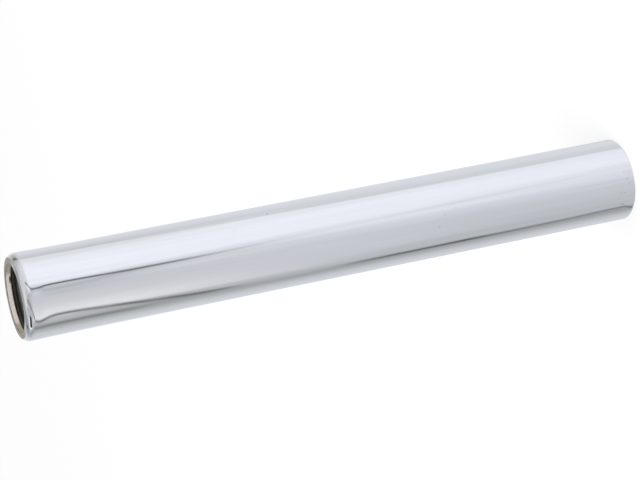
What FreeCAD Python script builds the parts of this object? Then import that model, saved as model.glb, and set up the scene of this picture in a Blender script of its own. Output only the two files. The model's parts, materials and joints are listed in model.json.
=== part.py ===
import FreeCAD, Part
import math
import os
import Sketcher

# Basin waste tail pipe, one piece of brass tube, in millimetres.
# The pipe stands on its plain cut end with its axis on Z. The inturned lip is at the top.

NODE = "tail_pipe"

# Sizes, one row each: alias, value, what it measures
SIZES = [
    ("outer_diameter", 32.0, "outside of the straight wall, nominal 1 1/4 inch waste size"),
    ("overall_length", 245.0, "cut end to lip face"),
    ("wall_thickness", 1.2, "wall of the tube"),
    ("flare_length", 32.0, "lip face to where the wall starts to widen"),
    ("flare_rise", 0.33, "how much the wall's radius grows up to the shoulder"),
    ("shoulder_depth", 3.1, "lip face to where the shoulder starts"),
    ("shoulder_inset", 1.43, "how far the shoulder comes in before the flat face"),
    ("face_width", 2.1, "flat face, from the shoulder to the opening"),
    ("lip_thickness", 2.0, "lip from front face to back face"),
    ("throat_radius", 0.8, "inside bend behind the lip"),
    ("face_edge_radius", 0.4, "edge between shoulder and flat face"),
    ("lip_edge_radius", 0.25, "both edges of the lip opening"),
    ("cut_edge_radius", 0.8, "outside edge of the cut end"),
    ("bore_edge_radius", 0.15, "inside edge of the cut end, deburred"),
]


def makeSizeSheet(doc):
    """A spreadsheet with one aliased cell for each driving size."""
    sheet = doc.addObject("Spreadsheet::Sheet", "Sizes")
    for row, (alias, value, meaning) in enumerate(SIZES, start=1):
        sheet.set(f"A{row}", alias)
        sheet.set(f"B{row}", str(value))
        sheet.set(f"C{row}", meaning)
        sheet.setAlias(f"B{row}", alias)
    doc.recompute()
    return sheet


def originFeature(body, role):
    """The origin plane or axis of a body that has this role."""
    for feature in body.Origin.OriginFeatures:
        if feature.Role == role:
            return feature
    raise LookupError(role)


def arcFrom(start, heading, end):
    """The arc that leaves start along heading and reaches end.

    Gives its geometry, the heading at its end, and the numbers of its start and end points.
    """
    chord = end - start
    left = FreeCAD.Vector(-heading.y, heading.x, 0)
    reach = chord.dot(chord) / (2 * left.dot(chord))
    centre = start + left * reach
    angles = [math.atan2(point.y - centre.y, point.x - centre.x) for point in (start, end)]
    turnsLeft = reach > 0
    if not turnsLeft:
        angles.reverse()
    circle = Part.Circle(centre, FreeCAD.Vector(0, 0, 1), abs(reach))
    spoke = (end - centre) / reach
    endHeading = FreeCAD.Vector(-spoke.y, spoke.x, 0)
    return Part.ArcOfCircle(circle, *angles), endHeading, (1, 2) if turnsLeft else (2, 1)


def addTubeSection(body, sheet):
    """A sketch on the XZ plane: the cut face, the outside up to the lip, the lip, and the bore back down.

    The outside is a straight wall, a flare tangent to it, and a shoulder tangent to the flare.
    """
    wall = sheet.outer_diameter / 2
    bore = wall - sheet.wall_thickness
    rim = wall + sheet.flare_rise
    face = rim - sheet.shoulder_inset
    opening = face - sheet.face_width
    top = sheet.overall_length
    lipBack = top - sheet.lip_thickness
    flareStart = top - sheet.flare_length
    corners = [FreeCAD.Vector(x, y, 0) for x, y in (
        (bore, 0), (wall, 0), (wall, flareStart), (rim, top - sheet.shoulder_depth), (face, top),
        (opening, top), (opening, lipBack), (rim - sheet.wall_thickness, lipBack), (bore, flareStart))]
    cutFace, outside, flare, shoulder, lipFace, lipWall, lipUnderside, innerFlare, boreWall = range(9)
    upward = FreeCAD.Vector(0, 1, 0)
    first, second = 1, 2

    sketch = body.newObject("Sketcher::SketchObject", "TubeSection")
    sketch.AttachmentSupport = [(originFeature(body, "XZ_Plane"), "")]
    sketch.MapMode = "FlatFace"
    ends = {}
    heading = upward
    for edge in range(9):
        start, end = corners[edge], corners[(edge + 1) % 9]
        if edge == innerFlare:
            # drawn upwards like the outer flare, so its start is the lower point
            arc, _, points = arcFrom(end, upward, start)
            sketch.addGeometry(arc, False)
            ends[edge] = (points[1], points[0])
        elif edge in (flare, shoulder):
            arc, heading, ends[edge] = arcFrom(start, heading, end)
            sketch.addGeometry(arc, False)
        else:
            sketch.addGeometry(Part.LineSegment(start, end), False)
            ends[edge] = (first, second)

    smooth = {outside, flare, innerFlare}
    for edge in range(9):
        following = (edge + 1) % 9
        kind = "Tangent" if edge in smooth else "Coincident"
        joint = (edge, ends[edge][1], following, ends[following][0])
        sketch.addConstraint(Sketcher.Constraint(kind, *joint))
    horizontalAxis = -1
    sketch.addConstraint(Sketcher.Constraint("PointOnObject", cutFace, first, horizontalAxis))
    for line in (cutFace, lipFace, lipUnderside):
        sketch.addConstraint(Sketcher.Constraint("Horizontal", line))
    for line in (outside, lipWall, boreWall):
        sketch.addConstraint(Sketcher.Constraint("Vertical", line))

    # places are measured from the sketch origin, point 1 of geometry -1
    radius = "Sizes.outer_diameter / 2"
    rimRadius = f"{radius} + Sizes.flare_rise"
    faceRadius = f"{rimRadius} - Sizes.shoulder_inset"
    length = "Sizes.overall_length"
    places = [
        ("DistanceX", boreWall, "bore_radius", f"{radius} - Sizes.wall_thickness"),
        ("DistanceX", outside, "wall_radius", radius),
        ("DistanceY", flare, "flare_height", f"{length} - Sizes.flare_length"),
        ("DistanceX", shoulder, "rim_radius", rimRadius),
        ("DistanceY", shoulder, "shoulder_height", f"{length} - Sizes.shoulder_depth"),
        ("DistanceX", lipFace, "face_radius", faceRadius),
        ("DistanceY", lipFace, "face_height", length),
        ("DistanceX", lipWall, "opening_radius", f"{faceRadius} - Sizes.face_width"),
        ("DistanceY", lipUnderside, "lip_back_height", f"{length} - Sizes.lip_thickness"),
        ("DistanceX", innerFlare, "throat_side_radius", f"{rimRadius} - Sizes.wall_thickness"),
        ("DistanceY", boreWall, "inner_flare_height", f"{length} - Sizes.flare_length"),
    ]
    origin = (-1, first)
    for kind, edge, label, expression in places:
        drawn = corners[edge].x if kind == "DistanceX" else corners[edge].y
        number = sketch.addConstraint(Sketcher.Constraint(kind, *origin, edge, ends[edge][0], drawn))
        sketch.renameConstraint(number, label)
        sketch.setExpression(f"Constraints.{label}", expression)
    return sketch


def addRevolution(body, name, sketch):
    """Full turn of a section about the sketch's vertical axis, which is the pipe's axis."""
    turned = body.newObject("PartDesign::Revolution", name)
    turned.Profile = sketch
    turned.ReferenceAxis = (sketch, ["V_Axis"])
    turned.Angle = 360.0
    sketch.Visibility = False
    return turned


def circularEdgesAt(shape, radius, heights):
    """Names of the full circles about Z with this radius at any of these heights."""
    tolerance = 1e-4
    names = []
    for number, edge in enumerate(shape.Edges, start=1):
        curve = edge.Curve
        if not isinstance(curve, Part.Circle):
            continue
        if abs(curve.Radius - radius) > tolerance:
            continue
        if any(abs(curve.Center.z - height) < tolerance for height in heights):
            names.append(f"Edge{number}")
    return names


def addRounding(doc, body, name, radius, heights, alias):
    """A fillet on the circles of one radius, its size bound to one cell."""
    doc.recompute()
    base = body.Tip
    rounding = body.newObject("PartDesign::Fillet", name)
    rounding.Base = (base, circularEdgesAt(base.Shape, radius, heights))
    rounding.setExpression("Radius", f"Sizes.{alias}")
    return rounding


def makeTailPipe(doc, sheet):
    """The tube with its lip, turned in one piece, then the bends and edges."""
    body = doc.addObject("PartDesign::Body", NODE)
    body.Label = NODE
    body.Placement = FreeCAD.Placement()
    addRevolution(body, "TubeAndLip", addTubeSection(body, sheet))

    wall = sheet.outer_diameter / 2
    bore = wall - sheet.wall_thickness
    face = wall + sheet.flare_rise - sheet.shoulder_inset
    opening = face - sheet.face_width
    top = sheet.overall_length
    lipBack = top - sheet.lip_thickness
    addRounding(doc, body, "FaceEdge", face, [top], "face_edge_radius")
    addRounding(doc, body, "Throat", bore + sheet.flare_rise, [lipBack], "throat_radius")
    addRounding(doc, body, "LipEdges", opening, [lipBack, top], "lip_edge_radius")
    addRounding(doc, body, "CutEdge", wall, [0.0], "cut_edge_radius")
    addRounding(doc, body, "BoreEdge", bore, [0.0], "bore_edge_radius")
    doc.recompute()
    return body


def exportChecked(doc, bodies):
    """Writes each body to its own STEP file once every feature has built."""
    for item in doc.Objects:
        if "Invalid" in item.State or "Error" in item.State:
            raise RuntimeError(f"{item.Name} did not build")
    os.makedirs("parts", exist_ok=True)
    for body in bodies:
        if body.Shape.isNull() or not body.Shape.isValid():
            raise RuntimeError(f"{body.Label} has no valid shape")
        body.Shape.exportStep(os.path.join("parts", f"{body.Label}.step"))
        print(body.Label, "solids", len(body.Shape.Solids), "volume", round(body.Shape.Volume, 1))


doc = FreeCAD.newDocument("BasinWasteTailPipe")
sheet = makeSizeSheet(doc)
tailPipe = makeTailPipe(doc, sheet)
exportChecked(doc, [tailPipe])
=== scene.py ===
import json
import math

import bpy
import numpy as np
from mathutils import Matrix, Vector


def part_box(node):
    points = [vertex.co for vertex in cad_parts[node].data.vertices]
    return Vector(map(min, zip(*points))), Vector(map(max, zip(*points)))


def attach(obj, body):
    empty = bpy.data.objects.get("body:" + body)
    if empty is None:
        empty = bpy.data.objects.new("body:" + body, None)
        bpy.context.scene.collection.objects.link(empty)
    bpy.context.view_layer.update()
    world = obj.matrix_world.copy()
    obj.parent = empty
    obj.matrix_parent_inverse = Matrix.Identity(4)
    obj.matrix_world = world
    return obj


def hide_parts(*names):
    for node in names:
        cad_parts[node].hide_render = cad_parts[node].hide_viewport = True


# Basin waste tail pipe: one chrome plated tube with an inturned lip, standing on its cut end.
# Metres, Z up along the pipe. Seen from the lip end with the camera turned on its side.

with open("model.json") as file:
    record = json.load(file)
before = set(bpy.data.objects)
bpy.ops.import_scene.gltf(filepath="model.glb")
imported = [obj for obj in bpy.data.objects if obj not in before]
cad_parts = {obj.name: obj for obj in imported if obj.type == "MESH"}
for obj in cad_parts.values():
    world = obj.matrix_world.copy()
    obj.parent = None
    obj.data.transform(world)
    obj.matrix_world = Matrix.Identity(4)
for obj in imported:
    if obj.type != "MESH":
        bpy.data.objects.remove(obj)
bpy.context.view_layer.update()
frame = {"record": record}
mounts = {mount["name"]: mount for mount in frame["record"]["mounts"]}
lowCorner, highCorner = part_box("tail_pipe")
pipeLength = float(highCorner[2] - lowCorner[2])
print("frame loaded, pipe length", round(pipeLength, 4))


# small helpers for node trees

def addNode(tree, kind, inputs=None, **settings):
    # a node with its settings, and inputs given as values or as sockets to link
    node = tree.nodes.new(kind)
    for name, value in settings.items():
        setattr(node, name, value)
    for key, value in (inputs or {}).items():
        if isinstance(value, bpy.types.NodeSocket):
            tree.links.new(value, node.inputs[key])
        else:
            node.inputs[key].default_value = value
    return node


def calc(tree, operation, first, second=0.0, third=0.0, clamp=False):
    node = addNode(tree, "ShaderNodeMath", {0: first, 1: second, 2: third}, operation=operation, use_clamp=clamp)
    return node.outputs[0]


def ramp(tree, value, low, high, lowOut=0.0, highOut=1.0, smooth=True):
    # low..high becomes lowOut..highOut, eased at both ends, and is held beyond them
    kind = "SMOOTHSTEP" if smooth else "LINEAR"
    inputs = {"Value": value, "From Min": low, "From Max": high, "To Min": lowOut, "To Max": highOut}
    return addNode(tree, "ShaderNodeMapRange", inputs, interpolation_type=kind).outputs[0]


def mixColour(tree, share, first, second, blend="MIX"):
    node = addNode(tree, "ShaderNodeMix", data_type="RGBA", blend_type=blend)
    for key, value in ((0, share), (6, first), (7, second)):
        if isinstance(value, bpy.types.NodeSocket):
            tree.links.new(value, node.inputs[key])
        else:
            node.inputs[key].default_value = value
    return node.outputs[2]


def curveOf(tree, value, points):
    # a smooth curve through the points (value, result)
    xs, ys = [x for x, _ in points], [y for _, y in points]
    lowX, spanX, lowY, spanY = min(xs), max(xs) - min(xs), min(ys), max(max(ys) - min(ys), 1e-6)
    place = calc(tree, "MULTIPLY_ADD", value, 1 / spanX, -lowX / spanX, clamp=True)
    node = addNode(tree, "ShaderNodeFloatCurve", {"Value": place})
    track = node.mapping.curves[0]
    while len(track.points) < len(points):
        track.points.new(0.5, 0.5)
    for spot, (x, y) in zip(track.points, sorted(points)):
        spot.location = ((x - lowX) / spanX, (y - lowY) / spanY)
    node.mapping.update()
    return calc(tree, "MULTIPLY_ADD", node.outputs[0], spanY, lowY)


def bell(tree, distance, width):
    # exp(-(distance / width)^2)
    scaled = calc(tree, "DIVIDE", distance, width)
    return calc(tree, "POWER", math.exp(-1), calc(tree, "MULTIPLY", scaled, scaled))


def grey(tree, value):
    return addNode(tree, "ShaderNodeCombineColor", {0: value, 1: value, 2: value}).outputs[0]


def noise(tree, place, scale, detail):
    return addNode(tree, "ShaderNodeTexNoise", {"Vector": place, "Scale": scale, "Detail": detail}).outputs[0]


def srgb(red, green, blue):
    # screen colour 0..255 to the linear colour that nodes use
    channels = []
    for value in (red, green, blue):
        value /= 255.0
        channels.append(value / 12.92 if value <= 0.04045 else ((value + 0.055) / 1.055) ** 2.4)
    return (*channels, 1.0)


def newMaterial(name):
    material = bpy.data.materials.new(name)
    material.use_nodes = True
    tree = material.node_tree
    tree.nodes.clear()
    output = addNode(tree, "ShaderNodeOutputMaterial")
    return material, tree, output


# the pipe

pipe = {
    "outerRadius": mounts["trap_end"]["dims"]["r_mm"] / 1000,
    "lipHoleRadius": mounts["lip_opening"]["dims"]["r_mm"] / 1000,
    "wall": 0.0012,
    "lipThickness": 0.002,
    "flareLength": 0.032,       # the wall widens a little over this length, up to the shoulder
    "flareRise": 0.00033,
    "shoulderDepth": 0.0031,
    "shoulderInset": 0.00143,
    "faceEdgeRadius": 0.0004,
    "throatRadius": 0.0008,
    "lipEdgeRadius": 0.00025,
    "cutEdgeRadius": 0.0008,
    "boreEdgeRadius": 0.00015,
    "rippleWidth": 0.0019,      # forming the lip left a faint ripple in the polished wall just below the shoulder
    "rippleLean": (0.9, 3.1),   # degrees
    "endRollReach": 0.003,      # sawing and deburring left the wall leaning in by a little at the cut end
    "endRollLean": 3.5,         # degrees at the very end
    "around": 384,
    "stepsPerBend": 8,
    "flareRows": 110,
    "wallRows": 12,
}


def bend(centre, radius, startDegrees, endDegrees, steps):
    # points at centre + radius times (cos a, sin a), a running evenly from start to end
    angle = np.radians(np.linspace(startDegrees, endDegrees, steps + 1))
    normal = np.stack([np.cos(angle), np.sin(angle)], axis=1)
    return np.asarray(centre) + radius * normal, normal


def hollow(centre, radius, startDegrees, endDegrees, steps):
    # an inside corner: the same arc, with its normals pointing at the centre
    place, normal = bend(centre, radius, startDegrees, endDegrees, steps)
    return place, -normal


def run(start, end, steps, normal):
    # points on the straight line from start to end, closer together near both ends
    share = (1 - np.cos(np.linspace(0, np.pi, steps + 1))) / 2
    points = np.asarray(start) + share[:, None] * (np.asarray(end) - np.asarray(start))
    return points, np.tile(np.asarray(normal, dtype=float), (len(points), 1))


def flareRun(radius, start, end, rise, steps):
    # a long arc tangent to the wall: the radius grows by R - sqrt(R^2 - h^2) at height h above its start
    reach = end - start
    arcRadius = (rise ** 2 + reach ** 2) / (2 * rise)
    height = reach * np.linspace(0, 1, steps + 1)
    points = np.stack([radius + arcRadius - np.sqrt(arcRadius ** 2 - height ** 2), start + height], axis=1)
    return points, np.degrees(np.arcsin(reach / arcRadius))


def wallNormals(points, size):
    # the polished wall's normals lean down by (A + B x) exp(-x), x counted from the shoulder in ripple widths,
    # and by E (1 - height / reach)^2 close to the cut end
    x = np.maximum(0, (pipeLength - points[:, 1] - size["shoulderDepth"]) / size["rippleWidth"])
    end = np.maximum(0, 1 - points[:, 1] / size["endRollReach"]) ** 2
    ripple = (size["rippleLean"][0] + size["rippleLean"][1] * x) * np.exp(-x)
    lean = -np.radians(ripple + size["endRollLean"] * end)
    return np.stack([np.cos(lean), np.sin(lean)], axis=1)


def pipeProfile(size):
    # closed outline in (radius, height), from the foot of the outer wall up, over the lip and down the bore
    outer, hole, bore = size["outerRadius"], size["lipHoleRadius"], size["outerRadius"] - size["wall"]
    edge, cut, burr, throat = (
        size[key] for key in ("lipEdgeRadius", "cutEdgeRadius", "boreEdgeRadius", "throatRadius"))
    top, back = pipeLength, pipeLength - size["lipThickness"]
    steps, rows, corner = size["stepsPerBend"], size["wallRows"], size["faceEdgeRadius"]
    flareFoot, rimHeight, rim = top - size["flareLength"], top - size["shoulderDepth"], outer + size["flareRise"]

    flare, lean = flareRun(outer, flareFoot, rimHeight, size["flareRise"], size["flareRows"])
    wall = np.concatenate([run((outer, cut), (outer, flareFoot), rows, (1, 0))[0][:-1], flare])
    # the shoulder's arc leaves the flare without a corner and would meet the face at shoulderInset
    inward = np.array([-math.cos(math.radians(lean)), math.sin(math.radians(lean))])
    chord = np.array([-size["shoulderInset"], size["shoulderDepth"]])
    shoulder = chord @ chord / (2 * inward @ chord)
    centre = np.array([rim, rimHeight]) + shoulder * inward
    # the corner's circle touches the arc from inside and the flat face from below
    lift = top - corner - centre[1]
    cornerX = centre[0] + math.sqrt((shoulder - corner) ** 2 - lift ** 2)
    meet = math.degrees(math.atan2(lift, cornerX - centre[0]))
    parts = [
        ("outside", bend((outer - cut, cut), cut, -90, 0, steps)),
        ("outside", (wall, wallNormals(wall, size))),
        ("outside", bend(centre, shoulder, -lean, meet, steps * 3)),
        ("faceEdge", bend((cornerX, top - corner), corner, meet, 90, steps)),
        ("lipFace", run((cornerX, top), (hole + edge, top), steps, (0, 1))),
        ("lipFace", bend((hole + edge, top - edge), edge, 90, 180, steps)),
        ("lipWall", run((hole, top - edge), (hole, back + edge), steps, (-1, 0))),
        ("lipWall", bend((hole + edge, back + edge), edge, 180, 270, steps)),
        ("bore", run((hole + edge, back), (rim - size["wall"] - throat, back), steps, (0, -1))),
        ("bore", hollow((rim - size["wall"] - throat, back - throat), throat, 90, 0, steps)),
        ("bore", run((rim - size["wall"], back - throat), (bore, flareFoot), steps * 2, (-1, 0))),
        ("bore", run((bore, flareFoot), (bore, burr), rows, (-1, 0))),
        ("cutFace", bend((bore + burr, burr), burr, 180, 270, steps // 2)),
        ("cutFace", run((bore + burr, 0), (outer - cut, 0), steps // 2, (0, -1))),
    ]
    points, normals, zones = [], [], []
    for zone, (place, normal) in parts:
        points.append(place[:-1])  # each part ends where the next one starts
        normals.append(normal[:-1])
        zones += [zone] * (len(place) - 1)
    return np.concatenate(points), np.concatenate(normals), zones


def turnedMesh(name, points, normals, zones, zoneSlots, around):
    # surface of revolution: x = r cos t, y = r sin t, z = height, on a grid closed both ways
    turn = np.linspace(0, 2 * np.pi, around, endpoint=False)
    cos, sin = np.cos(turn)[None, :], np.sin(turn)[None, :]
    place = np.stack([points[:, :1] * cos, points[:, :1] * sin, points[:, 1:] + 0 * cos], axis=-1)
    facing = np.stack([normals[:, :1] * cos, normals[:, :1] * sin, normals[:, 1:] + 0 * cos], axis=-1)
    rows = len(points)
    here = np.arange(rows * around).reshape(rows, around)
    up = np.roll(here, -1, axis=0)
    quads = np.stack([here, np.roll(here, -1, axis=1), np.roll(up, -1, axis=1), up], axis=-1).reshape(-1, 4)
    mesh = bpy.data.meshes.new(name)
    mesh.from_pydata(place.reshape(-1, 3).tolist(), [], quads.tolist())
    mesh.polygons.foreach_set("use_smooth", np.ones(len(quads), dtype=bool))
    slots = np.repeat([zoneSlots[zone] for zone in zones], around)
    mesh.polygons.foreach_set("material_index", slots.astype(np.int32))
    mesh.update()
    mesh.normals_split_custom_set_from_vertices(facing.reshape(-1, 3).tolist())
    return mesh


# finishes

chrome = {
    "colour": (0.82, 0.84, 0.88, 1),
    "brightStreak": (0.828, 0.848, 0.888, 1),
    "dullStreak": (0.812, 0.832, 0.872, 1),
    "streakScale": 700.0,
    "streakSquash": (1, 1, 0.03),
    "roughness": 0.035,
    "hazeRoughness": 0.03,      # added where the haze is thickest
    "hazeScale": 90.0,
    # turn from the camera side towards +X in degrees, height and size in metres, how dense
    "dust": [
        (51.5, 0.1483, 0.0004, 0.7), (-2.5, 0.0811, 0.0004, 0.2), (-17.3, 0.0839, 0.0004, 0.3),
        (4.0, 0.0762, 0.0004, 0.2), (7.8, 0.0040, 0.0004, 0.22), (-2.8, 0.0032, 0.0004, 0.4),
        (-1.6, 0.0027, 0.0003, 0.3), (-8.0, 0.0027, 0.0004, 0.3), (-20.5, 0.0066, 0.0004, 0.25),
        (-21.0, 0.0048, 0.0004, 0.3), (-38.0, 0.0066, 0.0004, 0.4), (-38.4, 0.0059, 0.0004, 0.5),
        (-38.8, 0.0052, 0.0004, 0.45),
    ],
    "film": [
        (32.2, 0.1628, 0.0011, 0.16), (32.8, 0.1553, 0.0010, 0.12), (-4.8, 0.1006, 0.0012, 0.12),
        (38.5, 0.0169, 0.0014, 0.12),
    ],
    "dustTone": srgb(92, 88, 84),
    "dustRoughness": 0.8,
    "filmTone": srgb(205, 198, 172),
    "filmRoughness": 0.6,
}


def speckShare(tree, coords, specks):
    # the densest of the specks at this place, each fading from a third of its size to its edge
    share = 0.0
    for turn, height, size, dense in specks:
        angle, radius = math.radians(turn), pipe["outerRadius"]
        spot = (radius * math.sin(angle), -radius * math.cos(angle), height)
        away = addNode(tree, "ShaderNodeVectorMath", {0: coords, 1: spot}, operation="DISTANCE").outputs["Value"]
        share = calc(tree, "MAXIMUM", ramp(tree, away, size * 0.3, size, dense, 0.0), share)
    return share


def chromePlate():
    material, tree, output = newMaterial("chromePlate")
    coords = addNode(tree, "ShaderNodeTexCoord").outputs["Object"]
    # polishing leaves hardly any haze, a little more in some patches, and very faint streaks along the pipe
    haze = noise(tree, coords, chrome["hazeScale"], 3.0)
    drawn = addNode(tree, "ShaderNodeVectorMath", {0: coords, 1: chrome["streakSquash"]}, operation="MULTIPLY")
    streaks = noise(tree, drawn.outputs[0], chrome["streakScale"], 3.0)
    tint = mixColour(tree, ramp(tree, streaks, 0.35, 0.65), chrome["brightStreak"], chrome["dullStreak"])
    plate = addNode(tree, "ShaderNodeBsdfPrincipled", {"Metallic": 1.0, "Base Color": tint})
    hazed = ramp(tree, haze, 0.35, 0.75, chrome["roughness"], chrome["roughness"] + chrome["hazeRoughness"])
    tree.links.new(hazed, plate.inputs["Roughness"])
    # thin dried films, and a few specks of dust over them
    shader = plate
    for kind in ("film", "dust"):
        layer = addNode(tree, "ShaderNodeBsdfPrincipled",
                        {"Base Color": chrome[kind + "Tone"], "Roughness": chrome[kind + "Roughness"]})
        share = speckShare(tree, coords, chrome[kind])
        shader = addNode(tree, "ShaderNodeMixShader", {0: share, 1: shader.outputs[0], 2: layer.outputs[0]})
    tree.links.new(shader.outputs[0], output.inputs[0])
    return material


lip = {
    "markScale": 4200.0,
    "markDepth": 0.00001,
    # the flat ring, with a patchy second tone, and painted light on its side towards -Y, which faces the camera, in
    # two steps: a whitish painted highlight, then grey at its nearest part
    "ringColour": srgb(166, 161, 153),
    "ringPatch": srgb(150, 143, 133),
    "ringPatchScale": 220.0,
    "ringRoughness": 0.42,
    "sideHighlightPaint": srgb(200, 203, 202),
    "sideFrom": -0.004,
    "nearSidePaint": srgb(163, 165, 165),
    "nearFrom": -0.0085,
    "nearTo": -0.0118,
    # painted highlight on the edge of the opening and on its back, then the edge's own tones on its +X side and its
    # -X side
    "edgeHighlight": srgb(246, 240, 236),
    "edgeHighlightBack": srgb(250, 236, 226),
    "dullColour": srgb(186, 181, 176),
    "yellowed": srgb(197, 190, 173),
    "edgeRoughness": 0.38,
    "highlightHalfAngle": 43.0,    # degrees each side of +Y over which the edge is painted bright as a highlight
    # a dark painted reflection inside the edge's highlight: its tone, place and size
    "darkReflectionPaint": srgb(104, 80, 70),
    "darkReflectionAt": (0.0071, 0.0107, 0.2434),
    "darkReflectionSize": (0.0024, 0.0024, 0.00048),
}
boreFinish = {
    # depth below the lip face in millimetres, how light the metal is, made dark behind the lip as painted shade
    "lightnessWithShade": [
        (2.0, 0.04), (2.7, 0.07), (3.2, 0.22), (3.6, 0.12), (3.9, 0.035), (4.2, 0.06), (4.5, 0.15), (4.8, 0.28),
        (5.2, 0.38), (9.0, 0.38), (30.0, 0.25),
    ],
    "nearLip": (0.95, 0.78, 0.68, 1),
    "deeper": (0.86, 0.90, 0.84, 1),
    "patchScale": 160.0,
    "roughness": 0.5,
}


def objectAxes(tree):
    # object coordinates, and their x, y, z
    coords = addNode(tree, "ShaderNodeTexCoord").outputs["Object"]
    axes = addNode(tree, "ShaderNodeSeparateXYZ", {0: coords})
    return coords, axes.outputs[0], axes.outputs[1], axes.outputs[2]


def turningMarks(tree, x, y, z):
    # fine rings left by the tool: noise read along the radius and the height only
    radius = calc(tree, "SQRT", calc(tree, "MULTIPLY_ADD", x, x, calc(tree, "MULTIPLY", y, y)))
    place = addNode(tree, "ShaderNodeCombineXYZ", {0: radius, 1: z})
    return noise(tree, place.outputs[0], lip["markScale"], 2.0)


def dullMetal(tree, output, tint, roughness, metallic, marks=None, strength=0.0):
    # a dull metal surface, with tool marks as relief where they are given
    inputs = {"Metallic": metallic, "Base Color": tint, "Roughness": roughness}
    if marks is not None:
        relief = {"Strength": strength, "Distance": lip["markDepth"], "Height": marks}
        inputs["Normal"] = addNode(tree, "ShaderNodeBump", relief).outputs[0]
    tree.links.new(addNode(tree, "ShaderNodeBsdfPrincipled", inputs).outputs[0], output.inputs[0])


def lipRing():
    material, tree, output = newMaterial("lipRing")
    coords, x, y, z = objectAxes(tree)
    patch = noise(tree, coords, lip["ringPatchScale"], 4.0)
    tint = mixColour(tree, ramp(tree, patch, 0.3, 0.75), lip["ringColour"], lip["ringPatch"])
    # painted light on the side towards -Y, which faces the camera: whitish as a painted highlight, then grey at its
    # nearest part
    tint = mixColour(tree, ramp(tree, y, lip["nearFrom"], lip["sideFrom"], 1.0, 0.0), tint, lip["sideHighlightPaint"])
    tint = mixColour(tree, ramp(tree, y, lip["nearTo"], lip["nearFrom"], 1.0, 0.0), tint, lip["nearSidePaint"])
    dullMetal(tree, output, tint, lip["ringRoughness"], 1.0, turningMarks(tree, x, y, z), 0.35)
    return material


def lipEdge():
    # the cut through the metal: a painted highlight over the part facing the camera, warmer towards its back,
    # duller at the sides, with one dark painted reflection
    material, tree, output = newMaterial("lipEdge")
    coords, x, y, z = objectAxes(tree)
    turn = calc(tree, "MULTIPLY", calc(tree, "ABSOLUTE", calc(tree, "ARCTAN2", x, y)), 180 / math.pi)
    depth = calc(tree, "MULTIPLY_ADD", z, -1000.0, pipeLength * 1000)
    # painted highlight on the part of the edge around +Y, which faces the camera; the sides keep their own duller
    # tones
    tint = mixColour(tree, ramp(tree, depth, 0.5, 1.9), lip["edgeHighlight"], lip["edgeHighlightBack"])
    dull = ramp(tree, turn, lip["highlightHalfAngle"] - 4, lip["highlightHalfAngle"] + 9)
    sides = mixColour(tree, ramp(tree, x, -0.004, 0.004), lip["yellowed"], lip["dullColour"])
    tint = mixColour(tree, dull, tint, sides)
    # the dark painted reflection, brown, fading out from its middle
    away = addNode(tree, "ShaderNodeVectorMath", {0: coords, 1: lip["darkReflectionAt"]}, operation="SUBTRACT")
    away = addNode(tree, "ShaderNodeVectorMath", {0: away.outputs[0], 1: lip["darkReflectionSize"]}, operation="DIVIDE")
    away = addNode(tree, "ShaderNodeVectorMath", {0: away.outputs[0]}, operation="LENGTH").outputs["Value"]
    tint = mixColour(tree, ramp(tree, away, 0.4, 1.0, 1.0, 0.0), tint, lip["darkReflectionPaint"])
    dullMetal(tree, output, tint, lip["edgeRoughness"], 0.1, turningMarks(tree, x, y, z), 0.3)
    return material


def boreMetal():
    # unplated metal: darkened behind the lip as painted shade, with one paler ring, then dull grey further down
    material, tree, output = newMaterial("boreMetal")
    coords, _, _, z = objectAxes(tree)
    depth = calc(tree, "MULTIPLY_ADD", z, -1000.0, pipeLength * 1000)
    # painted shade: the tone is made very dark just behind the lip, in the recess under it
    light = curveOf(tree, depth, boreFinish["lightnessWithShade"])
    patch = noise(tree, coords, boreFinish["patchScale"], 4.0)
    light = calc(tree, "MULTIPLY", light, ramp(tree, patch, 0.3, 0.7, 0.85, 1.1))
    tint = mixColour(tree, ramp(tree, depth, 3.4, 4.8), boreFinish["nearLip"], boreFinish["deeper"])
    tint = mixColour(tree, 1.0, tint, grey(tree, light), blend="MULTIPLY")
    dullMetal(tree, output, tint, boreFinish["roughness"], 0.1)
    return material


points, normals, zones = pipeProfile(pipe)
finishes = [chromePlate(), lipRing(), lipEdge(), boreMetal()]
zoneSlots = {"outside": 0, "faceEdge": 1, "lipFace": 1, "lipWall": 2, "bore": 3, "cutFace": 1}
pipeMesh = turnedMesh("platedTube", points, normals, zones, zoneSlots, pipe["around"])
for finish in finishes:
    pipeMesh.materials.append(finish)
platedTube = bpy.data.objects.new("platedTube", pipeMesh)
bpy.context.scene.collection.objects.link(platedTube)
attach(platedTube, "root")
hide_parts("tail_pipe")
print("pipe made,", len(pipeMesh.polygons) * 2, "triangles")


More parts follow.
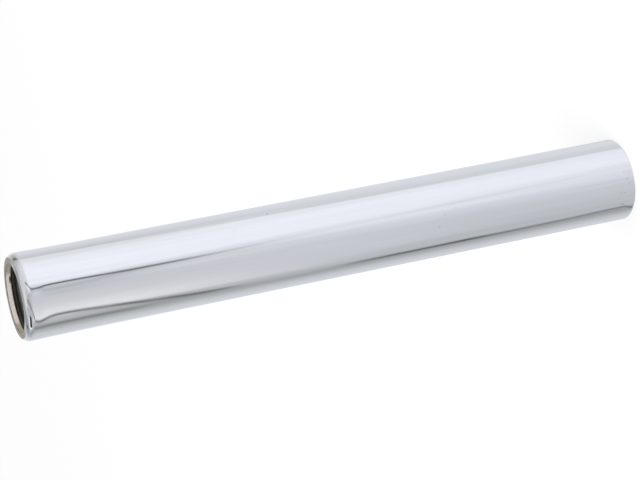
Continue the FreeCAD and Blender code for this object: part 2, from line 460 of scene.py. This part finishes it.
# surroundings that the chrome reflects: azimuth is in degrees round the pipe, 0 towards the camera and +90 towards
# +X; each band has its start at the first height and at the second, how many degrees before and after the start it
# takes to come in, and its tone at the first height and at the second
lowBands = [
    # the table and its cards, below the horizon: nearer the horizon first, further down second
    (-166, -166, 8, srgb(203, 209, 219), srgb(198, 204, 214)),
    (-150, -150, 10, srgb(200, 204, 212), srgb(203, 207, 215)),
    (-137, -137, 8, srgb(198, 202, 206), srgb(196, 200, 204)),
    (-112, -112, 20, srgb(153, 156, 159), srgb(154, 157, 160)),
    (-88, -90, 6, srgb(184, 185, 189), srgb(180, 183, 189)),
    (-70.5, -80.5, 6, srgb(230, 231, 235), srgb(184, 187, 192)),
    (-46, -44, 26, srgb(200, 201, 206), srgb(195, 198, 205)),
    (-10, -8, 14, srgb(189, 193, 199), srgb(210, 213, 221)),
    (20.5, 24, 11, srgb(238, 240, 249), srgb(232, 235, 244)),
    (74, 72, 20, srgb(229, 232, 240), srgb(227, 230, 239)),
    (92, 82, 9, srgb(219, 221, 227), srgb(227, 230, 238)),
    (109, 93.5, 3.2, srgb(196, 200, 204), srgb(204, 208, 214)),
    (126, 115, 12, srgb(208, 212, 219), srgb(211, 215, 222)),
    (154, 154, 10, srgb(209, 215, 227), srgb(208, 215, 226)),
    (171, 171, 7, srgb(220, 225, 236), srgb(212, 219, 235)),
]
highBands = [
    # the tent above the horizon: a third of the way up first, two thirds second
    (-158, -150, 12, srgb(201, 205, 213), srgb(194, 198, 204)),
    (-139, -132, 12, srgb(174, 178, 182), srgb(167, 170, 173)),
    (-122, -118, 10, srgb(157, 162, 163), srgb(146, 150, 152)),
    (-98, -85, 12, srgb(186, 190, 196), srgb(186, 190, 197)),
    (-50, -60, 16, srgb(178, 177, 182), srgb(197, 197, 201)),
    (-20, -30, 14, srgb(180, 184, 188), srgb(213, 214, 217)),
    (12, 20, 16, srgb(205, 206, 212), srgb(205, 206, 208)),
    (34, 45, 12, srgb(212, 214, 222), srgb(200, 201, 204)),
    (88, 78, 12, srgb(200, 202, 209), srgb(184, 187, 190)),
    (102, 106, 8, srgb(182, 182, 187), srgb(170, 174, 176)),
    (122, 126, 8, srgb(173, 174, 173), srgb(169, 173, 175)),
    (150, 150, 10, srgb(201, 205, 213), srgb(189, 194, 203)),
    (162, 160, 8, srgb(215, 217, 221), srgb(206, 209, 214)),
]
sky = {
    # how far lowBands has gone to its second tones, by elevation; highBands does so evenly between two elevations
    "lowSlide": [(-26.8, 1), (-21, 1), (-17.6, 0.68), (-14.05, 0.2), (-13.1, 0)],
    "highFirst": 18.0,
    "highSecond": 58.0,
    # the low surroundings turn into the high ones, and those into the open top of the tent
    "turnFrom": -12.0,
    "turnTo": 13.0,
    "topFrom": 66.0,
    "topTo": 85.0,
    "top": srgb(176, 176, 174),
    "white": (1, 1, 1, 1),
    "fill": 0.85,               # strength of the plain light on everything that isn't mirrored
}
# seams and edges of the cards: path as (elevation, azimuth), width and darkness along it as (elevation, value)
seams = {
    "upper": {
        "path": [
            (-26.8, 31.5), (-25.2, 27.4), (-23.3, 23.2), (-21.3, 20.4), (-19.4, 18.3), (-17.5, 16),
            (-16.3, 14.3), (-15.4, 13.9), (-14.4, 14.2), (-13.6, 14.7), (-13.2, 15.9), (-12.6, 17.2),
            (-12, 17.8), (-9.5, 17.8), (-1, 21.3), (7, 25.5), (14, 30.5), (24, 34.5),
        ],
        "width": [
            (-26.8, 2.4), (-24, 2.3), (-15.5, 2.6), (-14, 2.6), (-12, 2.3), (-11, 2.3), (-6, 2.8), (8, 3.6),
            (20, 3.6),
        ],
        "dark": [
            (-26.8, 0.09), (-22, 0.09), (-20.3, 0.15), (-18.8, 0.15), (-17, 0.28), (-15.4, 0.66), (-14.6, 0.83),
            (-11, 0.87), (-6, 0.92), (8, 0.88), (18, 0.72), (25, 0.44), (29, 0),
        ],
    },
    "fade": {
        "path": [(-26.8, 35), (-25.2, 30.5), (-23.3, 27), (-21, 23)],
        "width": [(-26.8, 8), (-25.2, 6), (-23.3, 6), (-21, 4)],
        "dark": [(-26.8, 0.11), (-25.2, 0.08), (-23.3, 0.07), (-21.3, 0.02), (-20, 0)],
    },
    "faint": {
        "path": [(-14.3, 11.5), (-13.6, 10.5), (-12.8, 6.5), (-12, 4.5), (-6, 2)],
        "width": [(-14.3, 3), (-6, 5)],
        "dark": [(-14.3, 0), (-13.6, 0.1), (-12, 0.14), (-8, 0.06), (-5, 0)],
    },
    "lower": {
        "path": [
            (-40, -112), (-34, -108), (-30.6, -102), (-29.3, -98), (-28.5, -95), (-27.6, -91), (-26.8, -87.5),
            (-25.2, -90.9), (-23.3, -93.2), (-22.6, -92.9), (-21.3, -94), (-17.5, -93), (-16.2, -91.8),
            (-15.4, -89.4), (-14.8, -85.2), (-14.4, -82.8), (-14, -79.8), (-13.7, -76.6), (-12.6, -68.3),
            (-12, -64.7), (-11.2, -62.5), (-9, -60.5), (-2, -52.5), (6, -43.5), (15, -32.5), (23, -26),
            (31, -20), (42, -15),
        ],
        "width": [
            (-26.8, 3.4), (-21.3, 4.0), (-16.2, 3.9), (-15, 5.1), (-13.5, 4.8), (-12, 4.8), (-10.5, 7.5),
            (-2, 8), (8, 6), (15, 7), (42, 9),
        ],
        "dark": [
            (-40, 0.3), (-26.8, 0.53), (-26, 0.5), (-25.2, 0.37), (-24.2, 0.39), (-23.4, 0.45), (-22.8, 0.66),
            (-22.5, 0.8), (-22.2, 0.72), (-21.6, 0.6), (-20.4, 0.6), (-19.9, 0.58), (-19.4, 0.44), (-18.6, 0.1),
            (-17.2, 0.06), (-16.2, 0.5), (-15.4, 0.65), (-14, 0.69), (-12.6, 0.74), (-12, 0.76), (-9, 0.82),
            (-2, 0.6), (8, 0.4), (15, 0.5), (32, 0.45), (46, 0),
        ],
    },
    "under": {
        "path": [(-14.5, -87), (-12, -83), (-9, -79), (-3, -78)],
        "width": [(-14.5, 5), (-3, 5)],
        "dark": [(-14.3, 0), (-13.4, 0.11), (-12.8, 0.08), (-12, 0.07), (-9, 0.18), (-3, 0.1), (3, 0)],
    },
    "band": {
        "path": [
            (-14, -99), (-13.4, -97.5), (-12.8, -95.5), (-12, -94), (-9, -95.5), (-4, -99), (0, -105),
            (6, -110), (12, -118), (18, -121), (30, -124), (36, -121), (43, -113),
        ],
        "width": [(-14, 5), (-9, 5.5), (10, 8), (43, 9)],
        "dark": [
            (-14.2, 0), (-13.6, 0.2), (-12.8, 0.31), (-9, 0.28), (-4, 0.2), (6, 0.14), (18, 0.1), (29, 0.26),
            (38, 0.28), (46, 0),
        ],
    },
}
# things standing about: centre and half size in degrees (azimuth, elevation), rise per degree of azimuth,
# how soft the edge is, tone
things = {
    "sheet": ((15, -21.5), (12.5, 8.5), 0, 1.0, srgb(223, 226, 234)),
    "swell": ((-48, -19.8), (30, 5), 0, 1.0, srgb(197, 200, 207)),
    "sink": ((-74, -24), (12, 6), 0, 1.0, srgb(180, 183, 188)),
    "ebb": ((-6, -26), (9, 5.5), 0, 1.0, srgb(201, 204, 213)),
    "drape": ((33, -26.5), (11, 6), 0, 1.0, srgb(222, 225, 236)),
    "brow": ((-24, -18.5), (16, 4.5), 0, 1.0, srgb(199, 202, 209)),
    "veil": ((36, -13.5), (12, 6), 0, 1.0, srgb(234, 236, 245)),
    "sheen": ((68, -19.5), (20, 7), 0, 1.0, srgb(235, 238, 247)),
    "gleam": ((88, -16), (9, 4), 0, 1.0, srgb(232, 234, 240)),
    "mist": ((-6, -11.8), (10, 1.5), 0, 1.0, srgb(187, 191, 197)),
    "pale": ((107, -17), (8, 3.5), 0, 1.0, srgb(207, 211, 215)),
    "groove": ((113, -12.8), (5, 1.4), 0, 1.0, srgb(190, 194, 198)),
    "calm": ((1, -16), (9, 3.2), 0, 1.0, srgb(207, 210, 217)),
    "wane": ((86, 3), (20, 9), 0, 1.0, srgb(208, 210, 216)),
    "slip": ((9, 7), (8.5, 21), 0, 0.8, srgb(208, 212, 218)),
    "lull": ((-92, -18), (9, 2.8), 0, 1.0, srgb(173, 176, 180)),
    "farDusk": ((166, -28.5), (26, 5.5), 0, 1.0, srgb(192, 195, 201)),
    "gap": ((18, 8), (11, 15), 0.5, 0.9, srgb(228, 231, 240)),
    "shade": ((-59, 29), (8, 14), 0, 1.0, srgb(152, 153, 157)),
    "slotGlow": ((-84, 27), (21, 14), 0.33, 0.35, srgb(236, 239, 243)),
    "slot": ((-77, 23.6), (19, 9.7), 0.26, 0.25, srgb(63, 55, 51)),
    "slotTop": ((-66.5, 26), (9, 9), 0, 0.55, srgb(36, 32, 36)),
    "slotFoot": ((-88.5, 20.5), (8, 7), 0, 0.7, srgb(26, 19, 18)),
    "beside": ((-109, 19), (9, 8), 0, 1.0, srgb(188, 192, 196)),
    "squiggle": ((-1, 27), (7, 8), -2.5, 0.7, srgb(138, 142, 146)),
    "streak": ((-17.5, 34), (12, 19), 0, 0.7, srgb(147, 149, 152)),
    "hook": ((11, 35), (12, 9), -0.5, 0.9, srgb(178, 181, 185)),
    "lampGlow": ((-36, 63), (20, 9), 0, 1.0, srgb(222, 223, 226)),
    "dusk": ((113, 56), (18, 11), 0, 1.0, srgb(148, 151, 152)),
    "cloud": ((-45, 46), (13, 10), 0, 1.0, srgb(168, 168, 172)),
    "blotch": ((125.5, 17.5), (13, 12), 0.5, 0.75, srgb(116, 115, 108)),
    "blotchTip": ((116, 12.5), (7, 6), 0.5, 0.9, srgb(104, 106, 100)),
    "corner": ((-115, 41), (11, 8), -0.3, 0.9, srgb(86, 90, 92)),
}


def chromeGain(colour):
    # a tone seen in the chrome, divided by the chrome's own colour
    return tuple(c / m for c, m in zip(colour[:3], chrome["colour"][:3])) + (1,)


def bandTone(tree, azimuth, along, bands):
    # goes round from band to band; along slides from the first tone and place to the second
    tone = mixColour(tree, along, chromeGain(bands[-1][3]), chromeGain(bands[-1][4]))
    for startFirst, startSecond, soft, firstTone, secondTone in bands:
        start = calc(tree, "MULTIPLY_ADD", along, startSecond - startFirst, startFirst)
        low = calc(tree, "SUBTRACT", start, soft)
        high = calc(tree, "ADD", start, soft)
        here = mixColour(tree, along, chromeGain(firstTone), chromeGain(secondTone))
        tone = mixColour(tree, ramp(tree, azimuth, low, high), tone, here)
    return tone


def seamShade(tree, azimuth, elevation, seam):
    # share of light left: 1 - dark * bell(azimuth - path)
    aside = calc(tree, "SUBTRACT", azimuth, curveOf(tree, elevation, seam["path"]))
    near = bell(tree, aside, curveOf(tree, elevation, seam["width"]))
    dark = calc(tree, "MULTIPLY", near, curveOf(tree, elevation, seam["dark"]))
    return calc(tree, "MULTIPLY_ADD", dark, -1.0, 1.0)


def thingShare(tree, azimuth, elevation, centre, half, rise, soft):
    # 1 inside the rounded patch (x^4 + y^4)^(1/4) < 1 - soft, falling to 0 at 1; y counts from a sloping midline
    aside = calc(tree, "SUBTRACT", azimuth, centre[0])
    above = calc(tree, "MULTIPLY_ADD", aside, -rise, calc(tree, "SUBTRACT", elevation, centre[1]))
    aside = calc(tree, "POWER", calc(tree, "ABSOLUTE", calc(tree, "DIVIDE", aside, half[0])), 4.0)
    above = calc(tree, "POWER", calc(tree, "ABSOLUTE", calc(tree, "DIVIDE", above, half[1])), 4.0)
    reach = calc(tree, "POWER", calc(tree, "ADD", aside, above), 0.25)
    return ramp(tree, reach, 1.0 - soft, 1.0, 1.0, 0.0)


def studioWorld():
    world = bpy.data.worlds.new("studio")
    world.use_nodes = True
    tree = world.node_tree
    tree.nodes.clear()
    output = addNode(tree, "ShaderNodeOutputWorld")
    direction = addNode(tree, "ShaderNodeTexCoord").outputs["Generated"]
    axes = addNode(tree, "ShaderNodeSeparateXYZ", {0: direction})
    azimuth = calc(tree, "ARCTAN2", axes.outputs[0], calc(tree, "MULTIPLY", axes.outputs[1], -1.0))
    azimuth = calc(tree, "MULTIPLY", azimuth, 180 / math.pi)
    elevation = calc(tree, "MULTIPLY", calc(tree, "ARCSINE", axes.outputs[2]), 180 / math.pi)
    lowAlong = curveOf(tree, elevation, sky["lowSlide"])
    highAlong = ramp(tree, elevation, sky["highFirst"], sky["highSecond"], smooth=False)
    low = bandTone(tree, azimuth, lowAlong, lowBands)
    high = bandTone(tree, azimuth, highAlong, highBands)
    tone = mixColour(tree, ramp(tree, elevation, sky["turnFrom"], sky["turnTo"]), low, high)
    tone = mixColour(tree, ramp(tree, elevation, sky["topFrom"], sky["topTo"]), tone, chromeGain(sky["top"]))
    for seam in seams.values():
        tone = mixColour(tree, 1.0, tone, grey(tree, seamShade(tree, azimuth, elevation, seam)), blend="MULTIPLY")
    for centre, half, rise, soft, colour in things.values():
        share = thingShare(tree, azimuth, elevation, centre, half, rise, soft)
        tone = mixColour(tree, share, tone, chromeGain(colour))
    rays = addNode(tree, "ShaderNodeLightPath")
    surround = addNode(tree, "ShaderNodeBackground", {"Color": tone, "Strength": 1.0})
    plain = addNode(tree, "ShaderNodeBackground", {"Color": sky["white"], "Strength": sky["fill"]})
    backdrop = addNode(tree, "ShaderNodeBackground", {"Color": sky["white"], "Strength": 1.0})
    glossy = rays.outputs["Is Glossy Ray"]
    lit = addNode(tree, "ShaderNodeMixShader", {0: glossy, 1: plain.outputs[0], 2: surround.outputs[0]})
    seen = calc(tree, "MAXIMUM", rays.outputs["Is Camera Ray"], rays.outputs["Is Transmission Ray"])
    shown = addNode(tree, "ShaderNodeMixShader", {0: seen, 1: lit.outputs[0], 2: backdrop.outputs[0]})
    tree.links.new(shown.outputs[0], output.inputs[0])
    return world


bpy.context.scene.world = studioWorld()

floorPlan = {
    "radius": 8.0,
    "rings": 24,
    "around": 96,
    "below": 0.00002,
    "colour": (0.96, 0.96, 0.96, 1),
    "lift": 0.6,        # share of plain white near the pipe, which grows to 1 between the two distances
    "whiteFrom": 0.5,
    "whiteTo": 2.5,
}


def makeFloor(plan):
    # flat disc: rings at radius R (k/n)^2 and points at even angles, closed by a small middle face
    radius = plan["radius"] * (np.arange(1, plan["rings"] + 1) / plan["rings"]) ** 2
    turn = np.linspace(0, 2 * np.pi, plan["around"], endpoint=False)
    grid = np.stack([radius[:, None] * np.cos(turn), radius[:, None] * np.sin(turn),
                     np.full((plan["rings"], plan["around"]), -plan["below"])], axis=-1)
    here = np.arange(plan["rings"] * plan["around"]).reshape(plan["rings"], plan["around"])
    inner, outer = here[:-1], here[1:]
    quads = np.stack([inner, outer, np.roll(outer, -1, axis=1), np.roll(inner, -1, axis=1)], axis=-1).reshape(-1, 4)
    mesh = bpy.data.meshes.new("floor")
    mesh.from_pydata(grid.reshape(-1, 3).tolist(), [], quads.tolist() + [here[0].tolist()])
    mesh.update()
    material, tree, output = newMaterial("paleFloor")
    rays = addNode(tree, "ShaderNodeLightPath")
    matt = addNode(tree, "ShaderNodeBsdfDiffuse", {"Color": plan["colour"]})
    glow = addNode(tree, "ShaderNodeEmission", {"Color": sky["white"], "Strength": 1.0})
    clear = addNode(tree, "ShaderNodeBsdfTransparent")
    coords = addNode(tree, "ShaderNodeTexCoord").outputs["Object"]
    away = addNode(tree, "ShaderNodeVectorMath", {0: coords}, operation="LENGTH").outputs["Value"]
    lift = ramp(tree, away, plan["whiteFrom"], plan["whiteTo"], plan["lift"], 1.0)
    share = calc(tree, "MULTIPLY", rays.outputs["Is Camera Ray"], lift)
    pale = addNode(tree, "ShaderNodeMixShader", {0: share, 1: matt.outputs[0], 2: glow.outputs[0]})
    passing = calc(tree, "MAXIMUM", rays.outputs["Is Glossy Ray"], rays.outputs["Is Transmission Ray"])
    shown = addNode(tree, "ShaderNodeMixShader", {0: passing, 1: pale.outputs[0], 2: clear.outputs[0]})
    tree.links.new(shown.outputs[0], output.inputs[0])
    mesh.materials.append(material)
    floor = bpy.data.objects.new("floor", mesh)
    bpy.context.scene.collection.objects.link(floor)


makeFloor(floorPlan)

lamps = [
    # name, place, aimed at, width, power in watts
    ("topLamp", (-0.5, -0.9, 1.6), (0, 0, 0.12), 1.2, 14.0),
    ("sideLamp", (1.4, -0.4, 1.0), (0, 0, 0.12), 1.0, 6.0),
]
for name, place, target, width, power in lamps:
    light = bpy.data.lights.new(name, "AREA")
    light.shape = "SQUARE"
    light.size = width
    light.energy = power
    lamp = bpy.data.objects.new(name, light)
    lamp.location = place
    lamp.visible_glossy = False  # the tent around the pipe hides the lamps from the chrome
    lamp.rotation_euler = (Vector(target) - Vector(place)).to_track_quat("-Z", "Y").to_euler()
    bpy.context.scene.collection.objects.link(lamp)
print("studio made")


# camera

shot = {
    "focalPixels": 2203.9,       # focal length in pixels of a 640 pixel wide picture
    "distance": 0.83453,         # along the view axis to the middle of the pipe
    "axisDegrees": 71.236,       # between the view axis and the pipe's axis
    "rollDegrees": 11.208,       # how far the far end is above the picture's level
    "right": 0.003657,           # middle of the pipe, right of the view axis
    "down": -0.001518,           # and below it
    "sensor": 36.0,
    "pictureWidth": 640,
    "clipStart": 0.01,
    "clipEnd": 50.0,
}


def makeCamera(shot):
    lean, roll = math.radians(shot["axisDegrees"]), math.radians(shot["rollDegrees"])
    forward = Vector((0, math.sin(lean), -math.cos(lean)))
    # the pipe's downward axis and its left side, as the picture sees them, before the roll
    alongPipe = Vector((0, -math.cos(lean), -math.sin(lean)))
    acrossPipe = Vector((-1, 0, 0))
    right = math.cos(roll) * alongPipe + math.sin(roll) * acrossPipe
    down = -math.sin(roll) * alongPipe + math.cos(roll) * acrossPipe
    middle = Vector((0, 0, pipeLength / 2))
    place = middle - shot["right"] * right - shot["down"] * down - shot["distance"] * forward
    turned = Matrix((right, -down, -forward)).transposed().to_4x4()
    lens = bpy.data.cameras.new("photoCamera")
    lens.sensor_width = shot["sensor"]
    lens.lens = shot["focalPixels"] * shot["sensor"] / shot["pictureWidth"]
    lens.clip_start, lens.clip_end = shot["clipStart"], shot["clipEnd"]
    camera = bpy.data.objects.new("photoCamera", lens)
    camera.matrix_world = Matrix.Translation(place) @ turned
    bpy.context.scene.collection.objects.link(camera)
    bpy.context.scene.camera = camera


makeCamera(shot)
bpy.context.scene.view_settings.view_transform = "Standard"
